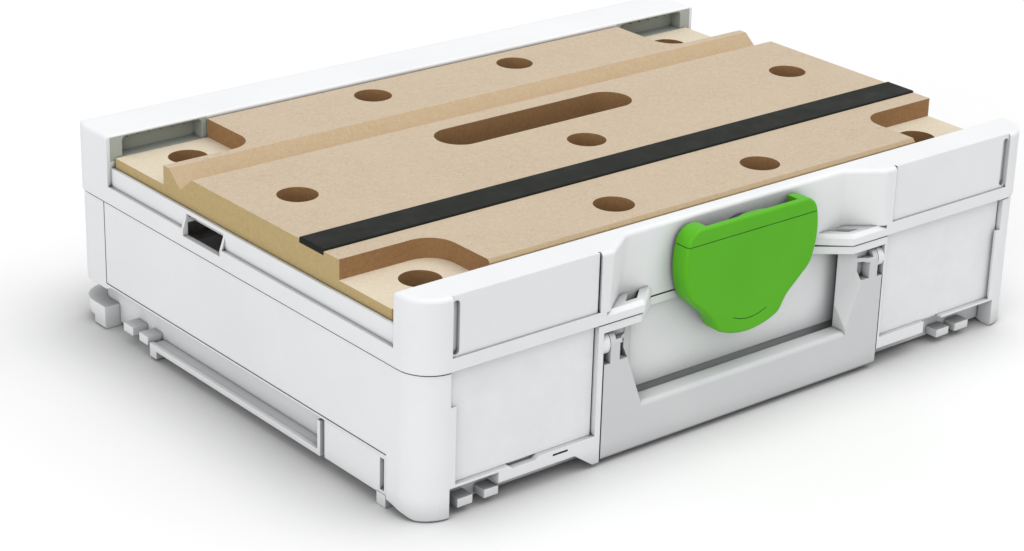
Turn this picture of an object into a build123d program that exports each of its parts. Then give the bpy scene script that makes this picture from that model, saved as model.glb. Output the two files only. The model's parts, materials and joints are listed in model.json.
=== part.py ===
from build123d import *
import math
import os

# Stackable tool case with a bench-top lid, in millimetres.
# Frame: +X to the right, +Y to the rear, +Z up. The origin is on the ground, centred under the case.

# Case size
case_width = 396.0
case_depth = 296.0
base_height = 72.0
lid_height = 36.0
corner_radius = 16.6
wall = 3.0
parting_gap = 0.8
base_inset = 0.6

# Fits and clearances
body_gap = 0.3
seat_gap = 0.05
pivot_gap = 0.05
pin_fit = 0.02
pin_end_wall = 1.5
board_gap = 0.9

# Work board and its features
board_front_gap = 7.5
board_thickness = 19.0
board_proud = 2.2
board_chamfer = 1.6
dog_radius = 10.0
dog_inner_x = 48.0
dog_side_inset = 30.8
dog_front_inset = 20.0
dog_rear_inset = 18.6
dog_centre_offset = 20.5
pocket_depth = 10.0
pocket_width = 54.3
pocket_front_length = 39.5
pocket_rear_length = 45.1
pocket_radius = 14.0
groove_inset = 60.3
groove_width = 20.5
groove_depth = 8.0
slot_length = 125.0
slot_width = 25.5
slot_inset = 94.3

# Grip strip
strip_inset = 60.7
strip_width = 19.2
strip_thickness = 3.0
strip_proud = 1.0

# Lid ridges, rims and deck
ridge_front_width = 20.0
ridge_rear_width = 37.6
ridge_edge_round = 2.2
ridge_end_round = 1.4
ridge_hollow_start = 26.0
ridge_rear_wall = 6.5
ridge_roof_extra = 2.5
ridge_rear_round = 12.0
side_rim_drop = 17.0
side_band_height = 9.0
side_setback = 2.2
deck_thickness = 2.5
rib_thickness = 2.0
rib_height = 5.0
rib_inset_x = 83.0
rib_inset_y = 78.0

# Side slots in the lid
side_slot_inset = 85.4
side_slot_length = 32.0
side_slot_height = 11.0
side_slot_sill = 5.5
gusset_thickness = 1.6

# Corner sockets in the ridges
socket_inner_inset = 56.0
socket_outer_inset = 9.0
socket_height = 11.2
socket_wall = 1.4
socket_depth = 7.6
socket_mouth_round = 2.5
socket_skin = 1.2
socket_roof_gap = 0.5
socket_flange_outer_inset = 2.0
socket_flange_inner_inset = 59.0
socket_flange_depth = 2.5
arches = 7
arch_pier = 0.4
arch_depth = 2.6
arch_drop = 3.4

# Front recess shared by latch and handle
recess_depth = 12.3
recess_inset = 21.5
recess_mouth_inset = 2.0
recess_flare = 3.5
recess_corner_round = 7.0
boss_edge_round = 2.5
flange_inner_inset = 38.0
flange_mouth_inset = 22.0
flange_thickness = 4.0
lid_flange_thickness = 5.7
lid_flange_chamfer = 2.0
flange_hole = 7.0
flange_hole_inset = 26.3
flange_hole_back = 0.6
flange_hole_length = 6.9
flange_hole_shift = 7.6
handle_well_depth = 15.0
handle_well_low_depth = 17.0
handle_well_low_wall = 1.8
handle_well_low_top = 26.3

# Label fields on the front
field_gap = 4.0
field_gap_right = 2.3
field_post_width = 17.4
field_depth = 4.5
field_sill = 16.5
sill_thickness = 1.4
lid_field_sill = 6.5
lid_field_depth = 1.0
lid_slit_width = 1.0
lid_slit_depth = 2.5
lid_slot_width = 4.0
lid_slot_depth = 3.0
lid_slot_bottom = 1.0
lid_slot_top = 2.5
lip_width = 3.2
lip_thickness = 1.2
lip_top = 55.0
card_thickness = 1.0
sill_notch_inner_inset = 69.0
sill_notch_outer_inset = 51.0
sill_notch_drop = 1.6
sill_notch_slope = 2.5
sill_break_inner_inset = 70.5
sill_break_outer_inset = 57.0
apron_left_inset = 45.3

# Lower base
step_height = 25.6
channel_depth = 9.5
underside = 2.5
floor_thickness = 3.0
front_apron = 9.7
front_apron_right = 10.3
front_post_depth = 25.3
rear_post_depth = 29.0
rear_foot_height = 12.5
rear_foot_width = 48.0
rear_foot_length = 10.5
rear_foot_lift = 5.0
rear_foot_lift_end = 8.0
rail_front_inset = 76.0
rail_rear_inset = 72.0
rail_height = 5.6
rail_thickness = 2.2
rail_lip = 2.2
rail_end_height = 23.7
side_groove_inset = 28.7
side_groove_width = 3.2
side_groove_depth = 3.0
side_groove_bottom = 8.0
side_groove_top = 24.0
rail_lip_height = 0.8
rail_tab_length = 6.0
rail_tab_bottom = 1.5
side_lug_bottom = 6.3
side_lug_top = 10.8
near_lug_offset = 1.8
near_lug_length = 8.0
far_lug_offset = 15.8
far_lug_length = 9.0
cheek_gap = 3.0
cheek_foot_length = 6.6
cheek_foot_gap = 0.3
front_lug_bottom = 3.6
front_lug_top = 7.8
front_lug_inset = 2.0
left_lug_insets = ((23.1, 31.6), (38.3, 46.4))
right_lug_insets = ((58.0, 48.7), (43.8, 33.8))
post_toe = 6.0
post_rise = ((6.6, 2.6), (14.1, 4.4), (18.5, 5.1))
post_wall = 12.0
post_overlap = 4.0
foot_round = 1.2
toe_bottom = 2.0
toe_flat = 4.0
toe_length = 15.0
slit_inner_inset = 86.0
slit_outer_inset = 77.0
slit_depth = 2.0
slit_bottom = 13.6
slit_top = 14.6
hinge_rim_height = 12.0
boss_wall_depth = 17.0
boss_wall_bottom = 52.0
side_panel_rear_inset = 31.5
side_panel_bottom = 26.7
side_groove_line = 0.7
side_groove_line_depth = 0.5
rear_step_height = 23.7
rear_step_slope = 4.0

# Hinge
hinge_inset = 4.0
hinge_inset_x = 83.0
hinge_length = 30.0
knuckle_radius = 4.0
knuckle_gap = 0.4
hinge_pin_radius = 1.6
hinge_notch_drop = 5.5
hinge_rim = 8.5
hinge_rim_rise = 7.0

# Front handle
handle_half = 92.0
handle_bottom = 2.5
handle_front_inset = 0.5
handle_thickness = 13.4
handle_bar_height = 23.5
handle_bar_thickness = 9.0
handle_arm_width = 23.6
handle_thin_to = 18.0
handle_flare = 15.2
handle_flare_rise = 11.6
handle_flare_top = 40.0
handle_crown_round = 2.0
handle_edge_round = 2.5
handle_window_outer = 9.4
handle_window_width = 5.1
handle_window_bottom = 51.8
handle_window_top = 60.4
handle_window_depth = 5.5
handle_slot_outer = 7.0
handle_slot_width = 8.0
handle_slot_bottom = 62.6
handle_slot_depth = 4.2
handle_notch_width = 3.7
handle_notch_bottom = 51.5
handle_lug_bottom = 56.8
handle_pivot_z = 60.5
handle_pin_radius = 2.4
handle_pin_reach = 8.0
handle_pin_hold = 9.0
handle_side_gap = 0.7

# Latch
latch_axis_z = 88.0
latch_radius = 43.5
latch_top = 17.0
latch_shoulder_drop = 18.2
latch_neck_half = 24.5
latch_neck_drop = 31.0
latch_tongue_half = 20.5
latch_corner_round = 9.0
latch_shoulder_round = 14.0
latch_neck_round = 16.0
latch_tongue_round = 8.0
latch_edge_round = 1.6
latch_thickness = 9.5
latch_front_inset = 0.5
latch_skin = 2.5
latch_slot_half = 30.0
latch_slot_depth = 7.2
latch_bump_half = 9.0
latch_bump_flat = 5.0
latch_bump = 1.3
latch_crease_z = 97.0
latch_crease = 0.35
latch_groove_radius = 24.0
latch_groove_z = 52.0
latch_groove_half = 11.0
latch_plate = 2.2
latch_shelf = 0.9
hub_radius = 9.0
hub_flange_radius = 13.5
hub_flange = 1.2
hub_key = 9.0
spring_washer_thickness = 0.8
washer_radius = 11.5
washer_thickness = 1.2
boss_thickness = 6.2
screw_radius = 2.4
screw_head_radius = 4.4
screw_head_height = 3.2

# Board screws
board_screw_inset_x = 108.0
board_screw_front_inset = 22.5
board_screw_rear_inset = 14.1
board_screw_radius = 2.0
board_screw_grip = 12.0
board_screw_head = 4.0
board_screw_head_height = 2.4
board_washer_radius = 6.5
board_washer_thickness = 1.0

# Derived places
half_w = case_width / 2
half_d = case_depth / 2
total_height = base_height + lid_height
base_top = base_height - parting_gap / 2
lid_bottom = base_height + parting_gap / 2
base_half_w = half_w - base_inset
base_half_d = half_d - base_inset
front_face = -half_d
ridge_front_inner = -half_d + ridge_front_width
ridge_rear_inner = half_d - ridge_rear_width
board_top = total_height - board_proud
board_bottom = board_top - board_thickness
board_front = ridge_front_inner + board_front_gap
board_rear = ridge_rear_inner - body_gap
rim_top = total_height - side_rim_drop
rim_outer = half_w - side_setback
rim_inner = rim_outer - 1.6
board_half = rim_inner - board_gap
deck_bottom = board_bottom - deck_thickness
recess_y = -half_d + recess_depth
well_y = -half_d + handle_well_depth
field_y = -half_d + field_depth
lid_field_y = -half_d + lid_field_depth
well_low_y = -half_d + handle_well_low_depth
pocket_floor = board_top - pocket_depth
board_mid_y = (board_front + board_rear) / 2
dog_outer_x = board_half - dog_side_inset
dog_front_y = board_front + dog_front_inset
dog_rear_y = board_rear - dog_rear_inset
dog_mid_y = (dog_front_y + dog_rear_y) / 2
dog_centre_y = dog_mid_y - dog_centre_offset
pocket_inner_x = board_half - pocket_width
pocket_front_y = board_front + pocket_front_length
pocket_rear_y = board_rear - pocket_rear_length
groove_y = board_rear - groove_inset
slot_y = board_rear - slot_inset
strip_y = board_front + strip_inset
side_slot_y = ridge_rear_inner - side_slot_inset
board_screw_x = half_w - board_screw_inset_x
board_screw_rows = (
    board_front + board_screw_front_inset,
    dog_mid_y,
    board_rear - board_screw_rear_inset,
)
socket_inner_x = half_w - socket_inner_inset
socket_outer_x = half_w - socket_outer_inset
rib_x = half_w - rib_inset_x
rib_y = half_d - rib_inset_y
recess_half = handle_half - recess_inset
recess_mouth_half = handle_half - recess_mouth_inset
flange_inner_half = handle_half - flange_inner_inset
flange_mouth_half = handle_half - flange_mouth_inset
flange_hole_x = handle_half - flange_hole_inset
handle_opening_half = handle_half - handle_arm_width
field_inner_x = handle_half + field_gap
field_outer_x = half_w - field_post_width
field_inner_right_x = handle_half + field_gap_right
sill_break_inner_x = half_w - sill_break_inner_inset
sill_break_outer_x = half_w - sill_break_outer_inset
apron_left_x = half_w - apron_left_inset
slit_inner_x = half_w - slit_inner_inset
slit_outer_x = half_w - slit_outer_inset
front_post_y = -half_d + front_post_depth
rear_post_y = half_d - rear_post_depth
rear_foot_inner_x = half_w - rear_foot_width
rail_front_y = -half_d + rail_front_inset
rail_rear_y = half_d - rail_rear_inset
side_groove_y = -half_d + side_groove_inset
side_panel_rear_y = half_d - side_panel_rear_inset
hinge_x = half_w - hinge_inset_x
hinge_y = half_d - hinge_inset
hinge_z = base_height
handle_front = -half_d + handle_front_inset
handle_pivot_y = handle_front + handle_thickness / 2
latch_front = -half_d + latch_front_inset
latch_back = latch_front + latch_thickness
boss_back = recess_y + boss_thickness


def block(x0, x1, y0, y1, z0, z1):
    """Box given by its extents."""
    centre = ((x0 + x1) / 2, (y0 + y1) / 2, (z0 + z1) / 2)
    return Pos(*centre) * Box(abs(x1 - x0), abs(y1 - y0), abs(z1 - z0))


def slab(half_x, half_y, radius, z0, z1):
    """Upright prism with a rounded rectangular plan."""
    plan = RectangleRounded(2 * half_x, 2 * half_y, radius)
    return Pos(0, 0, z0) * extrude(plan, z1 - z0)


def plan_prism(points, z0, z1):
    """Upright prism from corner points (x, y)."""
    return Pos(0, 0, z0) * extrude(make_face(Polyline(*points, close=True)), z1 - z0)


def front_prism(points, y0, y1):
    """Prism along Y from corner points (x, z)."""
    face = make_face(Polyline(*[(x, y0, z) for x, z in points], close=True))
    return extrude(face, y1 - y0, dir=(0, 1, 0))


def side_prism(points, x0, x1):
    """Prism along X from corner points (y, z)."""
    face = make_face(Polyline(*[(x0, y, z) for y, z in points], close=True))
    return extrude(face, x1 - x0, dir=(1, 0, 0))


def rod_x(radius, x0, x1, y, z):
    """Round bar along X."""
    return Pos((x0 + x1) / 2, y, z) * Rot(0, 90, 0) * Cylinder(radius, abs(x1 - x0))


def rod_y(radius, y0, y1, x, z):
    """Round bar along Y."""
    return Pos(x, (y0 + y1) / 2, z) * Rot(90, 0, 0) * Cylinder(radius, abs(y1 - y0))


def rod_z(radius, z0, z1, x, y):
    """Round bar along Z."""
    return Pos(x, y, (z0 + z1) / 2) * Cylinder(radius, abs(z1 - z0))


def both_sides(shape):
    """The shape and its mirror image across the middle of the case."""
    return [shape, shape.mirror(Plane.YZ)]


def dog_holes():
    """Centres of the bench dog holes."""
    rows = (dog_front_y, dog_rear_y)
    inner = [(s * dog_inner_x, y) for s in (-1, 1) for y in rows]
    outer = [(s * dog_outer_x, y) for s in (-1, 1) for y in rows]
    middle = [(s * dog_outer_x, dog_mid_y) for s in (-1, 1)]
    return inner + outer + middle + [(0.0, dog_centre_y)]


def board_screw_places():
    """Centres of the screws that hold the board from below."""
    return [(s * board_screw_x, y) for s in (-1, 1) for y in board_screw_rows]


def fillet_where(part, radius, test):
    """Round the edges whose centre passes the test."""
    edges = part.edges().filter_by(lambda e: test(e.center()))
    return fillet(edges, radius) if edges else part


# Base

def base_posts():
    """Corner posts: whole height at the front, low feet at the rear."""
    full = slab(base_half_w, base_half_d, corner_radius, 0, step_height)
    front = block(field_outer_x, half_w, front_face, front_post_y, 0, step_height)
    rear = block(rear_foot_inner_x, half_w, rear_post_y, half_d, 0, rear_foot_height)
    inner = block(
        field_outer_x - post_overlap, half_w - post_wall, front_face + post_wall, front_post_y, -1, underside
    )
    toe_y = front_face + post_toe
    rise = [(toe_y, -1), (toe_y, 0)] + [(toe_y + y, z) for y, z in post_rise]
    rise.append((toe_y + post_rise[-1][0] + 2, post_rise[-1][1]))
    rise.append((toe_y + post_rise[-1][0] + 2, -1))
    front -= side_prism(rise, 0, half_w + 1)
    lift_y = rear_post_y + rear_foot_length
    lift = [(lift_y, -1), (lift_y, rear_foot_lift), (half_d + 1, rear_foot_lift_end), (half_d + 1, -1)]
    rear -= side_prism(lift, 0, half_w + 1)
    full = fillet(full.edges().filter_by(lambda e: abs(e.center().Z) < 0.01), foot_round)
    posts = []
    for keep in both_sides(front - inner) + both_sides(rear):
        posts.append(full & keep)
    return posts


def rear_steps():
    """Rear corners of the body, which reach a little lower than its sides."""
    full = slab(base_half_w, base_half_d, corner_radius, rear_step_height, step_height + 1)
    y0 = side_panel_rear_y
    top = step_height + 1
    points = [
        (y0 - rear_step_slope, top),
        (y0 - rear_step_slope, step_height),
        (y0, rear_step_height),
        (half_d, rear_step_height),
        (half_d, top),
    ]
    keep = side_prism(points, rear_foot_inner_x, half_w)
    return [full & piece for piece in both_sides(keep)]


def base_rail(side):
    """Coupling rail on one side of the base: ledge, lip, end bracket and lugs."""
    inner = half_w - channel_depth - 1
    outer = base_half_w
    top = rail_height + rail_thickness
    ledge = block(inner, outer, rail_front_y, rail_rear_y, rail_height, top)
    lip_top_z = top + rail_lip_height
    lip = block(outer - rail_lip, outer, rail_front_y, rail_rear_y, rail_height, lip_top_z)
    end_y = rail_front_y + rail_lip
    end = block(inner, outer, rail_front_y, end_y, rail_height, rail_end_height)
    tab = block(inner, outer, rail_rear_y - rail_tab_length, rail_rear_y, rail_tab_bottom, top)
    near_y = rail_rear_y + near_lug_offset
    far_y = rail_rear_y + far_lug_offset
    near = block(inner, outer, near_y, near_y + near_lug_length, side_lug_bottom, side_lug_top)
    far = block(inner, outer, far_y, far_y + far_lug_length, side_lug_bottom, side_lug_top)
    cheek_bottom = rail_height + 0.5
    cheek = block(
        inner, outer - 0.4, front_post_y, rail_front_y - cheek_gap, cheek_bottom, step_height
    )
    foot_y = front_post_y + cheek_foot_gap
    foot = block(inner, outer, foot_y, foot_y + cheek_foot_length, 0, cheek_bottom + 0.5)
    parts = ledge + lip + end + tab + near + far + cheek + foot
    groove_y0 = side_groove_y - side_groove_width / 2
    groove_y1 = groove_y0 + side_groove_width
    groove_x0 = outer - side_groove_depth
    parts -= block(groove_x0, outer + 1, groove_y0, groove_y1, side_groove_bottom, side_groove_top)
    return parts if side > 0 else parts.mirror(Plane.YZ)


def base_front_lugs():
    """Small coupling lugs under the front edge, spaced differently on the two sides."""
    y0 = front_face + front_lug_inset
    y1 = -half_d + channel_depth + 2
    spans = [(a - half_w, b - half_w) for a, b in left_lug_insets]
    spans += [(half_w - a, half_w - b) for a, b in right_lug_insets]
    return [block(x0, x1, y0, y1, front_lug_bottom, front_lug_top) for x0, x1 in spans]


def base_outer():
    """Solid envelope of the base before it is hollowed."""
    upper = slab(base_half_w, base_half_d, corner_radius, step_height, base_top)
    core_w = half_w - channel_depth
    core_d = half_d - channel_depth
    core = slab(core_w, core_d, corner_radius - 6, underside, step_height)
    body = upper + core
    for post in base_posts() + rear_steps():
        body += post
    body += base_rail(1)
    body += base_rail(-1)
    for lug in base_front_lugs():
        body += lug
    for piece in base_aprons():
        body += piece
    return body


def base_aprons():
    """Front wall below the step: deeper near the handle, only a thin sill further out."""
    face = -base_half_d
    rear = -half_d + channel_depth + 1
    top = step_height
    x0 = handle_half + handle_side_gap
    x1 = field_outer_x + 1
    sill = field_sill - sill_thickness
    toe_points = [
        (-x0, toe_bottom),
        (-x0 - toe_flat, toe_bottom),
        (-x0 - toe_length, front_apron),
        (-x0, front_apron),
    ]
    return [
        block(-apron_left_x, -x0, face, rear, front_apron, top),
        block(-x1, -apron_left_x + 1, face, rear, sill, top),
        front_prism(toe_points, face, well_y),
        block(x0, sill_break_inner_x, face, rear, front_apron_right, top),
        block(sill_break_inner_x - 1, sill_break_outer_x + 1, field_y, rear, sill, top),
        block(sill_break_outer_x, x1, face, rear, sill, top),
    ]


def base_cavity():
    """Space inside the base."""
    inner_w = base_half_w - wall
    floor = underside + floor_thickness
    low_w = half_w - channel_depth - wall
    low_d = half_d - channel_depth - wall
    front_y = field_y + wall
    upper = block(-inner_w, inner_w, front_y, half_d - wall, step_height + wall, base_top + 1)
    lower = block(-low_w, low_w, -low_d, low_d, floor, step_height + wall + 1)
    top = base_height + 2
    rim = block(-half_w, half_w, half_d - hinge_rim, half_d, base_height - hinge_rim_height, top)
    boss_x0 = handle_half + handle_side_gap + wall
    well = block(-boss_x0, boss_x0, -half_d, well_y + wall, 0, top)
    well_low_back = well_low_y + handle_well_low_wall
    well += block(-boss_x0, boss_x0, -half_d, well_low_back, 0, handle_well_low_top + wall)
    corners = slab(inner_w, half_d - wall, corner_radius - wall, 0, top)
    hollow = (upper & corners) + lower - rim - well
    boss_y = -half_d + boss_wall_depth
    boss = block(boss_x0, boss_x0 + handle_pin_hold, front_face, boss_y, boss_wall_bottom, top)
    for piece in both_sides(boss):
        hollow -= piece
    return hollow


def flange_hole_cut(z0, z1):
    """Slanted locking hole through a parting flange, right-hand side."""
    y1 = recess_y - flange_hole_back
    y0 = y1 - flange_hole_length
    half = flange_hole / 2
    front_x = flange_hole_x + flange_hole_shift
    points = [
        (flange_hole_x - half, y1),
        (front_x - half, y0),
        (front_x + half, y0),
        (flange_hole_x + half, y1),
    ]
    return plan_prism(points, z0, z1)


def flange_plan(z0, z1, back_y):
    """Parting flange beside the recess, right-hand side."""
    x1 = handle_half + handle_side_gap
    points = [
        (flange_inner_half, back_y),
        (flange_inner_half, recess_y),
        (flange_mouth_half, front_face + base_inset),
        (x1 + 1, front_face + base_inset),
        (x1 + 1, back_y),
    ]
    plate = plan_prism(points, z0, z1)
    return plate - flange_hole_cut(z0 - 1, z1 + 1)


def handle_well():
    """Room in the base front for the folded handle."""
    half = handle_half + handle_side_gap
    top = base_top - flange_thickness
    low = block(-half, half, front_face - 5, well_y, -1, top)
    high = block(-half, half, front_face - 5, recess_y, top - 1, base_height + 1)
    behind_bar = block(-half, half, front_face - 5, well_low_y, -1, handle_well_low_top)
    return low + high + behind_bar


def handle_lugs():
    """Round lugs on the well's side walls that carry the handle pins."""
    x0 = handle_half - handle_notch_width + body_gap
    x1 = handle_half + handle_side_gap + 1
    lug = rod_x(handle_thickness / 2, x0, x1, handle_pivot_y, handle_pivot_z)
    lug -= block(x0 - 1, x1 + 1, front_face - 1, well_y, handle_pivot_z - handle_thickness, handle_lug_bottom)
    return both_sides(lug)


def base_fields():
    """Cuts for the two label fields and the small slit under the left one."""
    y0 = front_face - 1
    face = -base_half_d
    cuts = []
    for side, x0 in ((-1, field_inner_x), (1, field_inner_right_x)):
        x1 = field_outer_x
        field = block(side * x0, side * x1, y0, field_y, field_sill, base_height + 1)
        field -= block(side * (x1 - lip_width), side * x1, face, face + lip_thickness, field_sill, lip_top)
        cuts.append(field)
    cuts.append(block(-slit_outer_x, -slit_inner_x, y0, face + slit_depth, slit_bottom, slit_top))
    cuts.append(sill_notch())
    return cuts


def sill_notch():
    """Shallow dip in the left sill, for a fingertip behind the card."""
    x0 = sill_notch_outer_inset - half_w
    x1 = sill_notch_inner_inset - half_w
    low = field_sill - sill_notch_drop
    high = field_sill + 1
    points = [
        (x0, high),
        (x0, field_sill),
        (x0 + sill_notch_slope, low),
        (x1 - sill_notch_slope, low),
        (x1, field_sill),
        (x1, high),
    ]
    return front_prism(points, front_face - 1, field_y)


def side_panel_lines():
    """Fine grooves that outline the side panel, right-hand side."""
    x0 = base_half_w - side_groove_line_depth
    x1 = half_w + 1
    z0 = side_panel_bottom
    y1 = side_panel_rear_y
    foot = block(x0, x1, front_post_y, y1, z0, z0 + side_groove_line)
    return foot + block(x0, x1, y1 - side_groove_line, y1, z0, base_height + 1)


def knuckles(owner):
    """Hinge knuckles of one hinge, at the right: the base owns the outer two, the lid the middle one."""
    x0 = hinge_x - hinge_length / 2
    x1 = hinge_x + hinge_length / 2
    third = hinge_length * 0.27
    if owner == "base":
        spans = ((x0, x0 + third), (x1 - third, x1))
    else:
        spans = ((x0 + third + knuckle_gap, x1 - third - knuckle_gap),)
    return spans


def hinge_relief(owner):
    """Round clearance cut around the other half's knuckles."""
    radius = knuckle_radius + 0.5
    cuts = []
    for x0, x1 in knuckles("lid" if owner == "base" else "base"):
        cut = rod_x(radius, x0 - knuckle_gap, x1 + knuckle_gap, hinge_y, hinge_z)
        cuts += both_sides(cut)
    return cuts


def knuckle_solids(owner, bore):
    """Knuckle barrels with their bores."""
    solids = []
    for x0, x1 in knuckles(owner):
        barrel = rod_x(knuckle_radius, x0, x1, hinge_y, hinge_z)
        barrel -= rod_x(bore, x0 - 1, x1 + 1, hinge_y, hinge_z)
        solids += both_sides(barrel)
    return solids


def base_shell():
    body = base_outer() - base_cavity() - handle_well()
    notch_z = base_height - hinge_notch_drop
    body -= block(-half_w, half_w, hinge_y - 1.2, half_d + 1, notch_z, base_height + 1)
    for cut in base_fields() + both_sides(side_panel_lines()):
        body -= cut
    for lug in handle_lugs():
        body += lug
    for plate in both_sides(flange_plan(base_top - flange_thickness, base_top, well_y + wall)):
        body += plate
    for cut in hinge_relief("base"):
        body -= cut
    for barrel in knuckle_solids("base", hinge_pin_radius + pin_fit):
        body += barrel
    pin_x = hinge_length / 2 + 0.4
    hinge_bore = rod_x(hinge_pin_radius + pin_fit, hinge_x - pin_x, hinge_x + pin_x, hinge_y, hinge_z)
    pin_end = handle_half + handle_side_gap + wall + handle_pin_hold - pin_end_wall
    pin_start = handle_half - handle_notch_width
    pin_bore = rod_x(handle_pin_radius + pin_fit, pin_start, pin_end, handle_pivot_y, handle_pivot_z)
    for cut in both_sides(hinge_bore) + both_sides(pin_bore):
        body -= cut
    return body


def label_card(side):
    """Plain card that stands in a label field."""
    x0 = (field_inner_right_x if side > 0 else field_inner_x) + 0.6
    x1 = field_outer_x - 0.6
    return block(side * x0, side * x1, field_y - card_thickness, field_y, field_sill, base_top - 0.8)


def hinge_pin(side):
    x0 = hinge_x - hinge_length / 2
    x1 = hinge_x + hinge_length / 2
    pin = rod_x(hinge_pin_radius, x0 - 0.4, x1 + 0.4, hinge_y, hinge_z)
    return pin if side > 0 else pin.mirror(Plane.YZ)


def handle_pin(side):
    x0 = handle_half - handle_pin_reach
    x1 = handle_half + handle_side_gap + wall + handle_pin_hold - pin_end_wall
    pin = rod_x(handle_pin_radius, x0, x1, handle_pivot_y, handle_pivot_z)
    return pin if side > 0 else pin.mirror(Plane.YZ)


# Front handle

def handle_flare_cut():
    """Wedge off the inner front edge of the right arm, widening towards the top."""
    back = handle_front + handle_bar_thickness
    low_z = handle_bottom + handle_bar_height + 1
    top = handle_pivot_z + handle_thickness
    slope_x = handle_flare_top / handle_flare
    slope_y = handle_flare_rise / handle_bar_thickness
    x0 = handle_opening_half
    x1 = handle_opening_half + handle_flare
    reach = handle_bar_thickness / handle_flare
    plan = [(x0, back), (x0, handle_front - 1), (x1 + 1 / reach, handle_front - 1)]
    low = []
    for x, y in plan:
        z = low_z + slope_x * (x - handle_opening_half) + slope_y * (y - handle_front)
        low.append((x, y, z))
    high = [(x, y, top + handle_flare_top) for x, y in plan]
    low_face = make_face(Polyline(*low, close=True))
    high_face = make_face(Polyline(*high, close=True))
    return loft([low_face, high_face], ruled=True)


def handle_arm_cuts():
    """Bore, window, crown slot and outer notch of the right arm."""
    back = handle_front + handle_thickness
    top = handle_pivot_z + handle_thickness
    front = handle_front - 1
    bore_x = handle_half - handle_pin_reach - 0.4
    bore = rod_x(handle_pin_radius + pivot_gap, bore_x, handle_half + 1, handle_pivot_y, handle_pivot_z)
    window_x = handle_half - handle_window_outer
    window_y = handle_front + handle_window_depth
    window = block(
        window_x - handle_window_width, window_x, front, window_y, handle_window_bottom, handle_window_top
    )
    slot_x = handle_half - handle_slot_outer
    slot_end_y = handle_front + handle_slot_depth
    slot = block(slot_x - handle_slot_width, slot_x, front, slot_end_y, handle_slot_bottom, top)
    notch_x = handle_half - handle_notch_width
    notch = block(notch_x, handle_half + 1, front, back + 1, handle_notch_bottom, top)
    return [bore, window, slot, notch]


def front_handle():
    back = handle_front + handle_thickness
    bar_top = handle_bottom + handle_bar_height
    top = handle_pivot_z + handle_thickness / 2
    body = block(-handle_half, handle_half, handle_front, back, handle_bottom, handle_pivot_z)
    crown = rod_x(handle_thickness / 2, -handle_half, handle_half, handle_pivot_y, handle_pivot_z)
    body += crown
    half = handle_opening_half
    body -= block(-half, half, handle_front - 1, back + 1, bar_top, top + 5)
    thin_y = handle_front + handle_bar_thickness
    thin_x = handle_half - handle_thin_to
    body -= block(-thin_x, thin_x, thin_y, back + 1, handle_bottom - 1, top + 5)
    for cut in both_sides(handle_flare_cut()):
        body -= cut
    for cut in handle_arm_cuts():
        for piece in both_sides(cut):
            body -= piece
    body = fillet_where(
        body, handle_crown_round, lambda c: abs(c.Z - handle_bottom) < 0.1 and abs(c.X) < 5
    )
    return fillet_where(
        body,
        handle_edge_round,
        lambda c: abs(c.Z - bar_top) < 0.1 and abs(c.X) < 5 and c.Y < handle_front + 1,
    )


# Lid

def lid_recess():
    """Cut for the latch recess in the lid front, flaring towards the mouth and the top."""
    z0 = lid_bottom + lid_flange_thickness
    z1 = total_height + 1
    low = [
        (-recess_half - recess_flare, recess_y),
        (-recess_mouth_half - 2, front_face - 1),
        (recess_mouth_half + 2, front_face - 1),
        (recess_half + recess_flare, recess_y),
    ]
    high = [
        (-recess_half, recess_y),
        (-recess_mouth_half, front_face - 1),
        (recess_mouth_half, front_face - 1),
        (recess_half, recess_y),
    ]
    low_face = make_face(Polyline(*[(x, y, z0) for x, y in low], close=True))
    high_face = make_face(Polyline(*[(x, y, z1) for x, y in high], close=True))
    cut = loft([low_face, high_face], ruled=True)
    cut = fillet_where(
        cut, recess_corner_round, lambda c: abs(c.Y - recess_y) < 0.1 and abs(c.X) > recess_half - 1
    )
    mouth = [
        (-flange_inner_half, recess_y),
        (-flange_mouth_half, front_face - 1),
        (flange_mouth_half, front_face - 1),
        (flange_inner_half, recess_y),
    ]
    cut += plan_prism(mouth, lid_bottom - 1, z0 + 0.5)
    c = lid_flange_chamfer
    wide = [(x + (c if x > 0 else -c), y) for x, y in mouth]
    mouth_face = make_face(Polyline(*[(x, y, z0 - c) for x, y in mouth], close=True))
    wide_face = make_face(Polyline(*[(x, y, z0 + 0.01) for x, y in wide], close=True))
    cut += loft([mouth_face, wide_face], ruled=True)
    edge = [(front_face - 1, z0 - c), (front_face, z0 - c), (front_face + c, z0 + 0.01), (front_face - 1, z0 + 0.01)]
    return cut + side_prism(edge, -recess_mouth_half - 2, recess_mouth_half + 2)


def upright_slot(x0, x1, z0, z1, y0, y1):
    """Round-ended slot standing upright, cut from y0 back to y1."""
    outline = Rot(0, 0, 90) * SlotOverall(z1 - z0, x1 - x0)
    return Pos((x0 + x1) / 2, y1, (z0 + z1) / 2) * Rot(90, 0, 0) * extrude(outline, y1 - y0)


def lid_fields():
    """Shallow blank fields in the lid front, each with a slit at its inner end and a slot at its outer end."""
    z0 = lid_bottom + lid_field_sill
    y0 = front_face - 1
    field = block(field_inner_x, field_outer_x, y0, lid_field_y, z0, total_height + 1)
    slit_x = field_inner_x + lid_slit_width
    slit = block(field_inner_x, slit_x, y0, front_face + lid_slit_depth, z0, total_height + 1)
    slot_x = field_outer_x - lid_slot_width - 0.2
    slot_z0 = z0 + lid_slot_bottom
    slot_z1 = total_height - lid_slot_top
    slot_y = front_face + lid_slot_depth
    slot = upright_slot(slot_x, slot_x + lid_slot_width, slot_z0, slot_z1, y0, slot_y)
    return both_sides(field + slit + slot)


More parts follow.
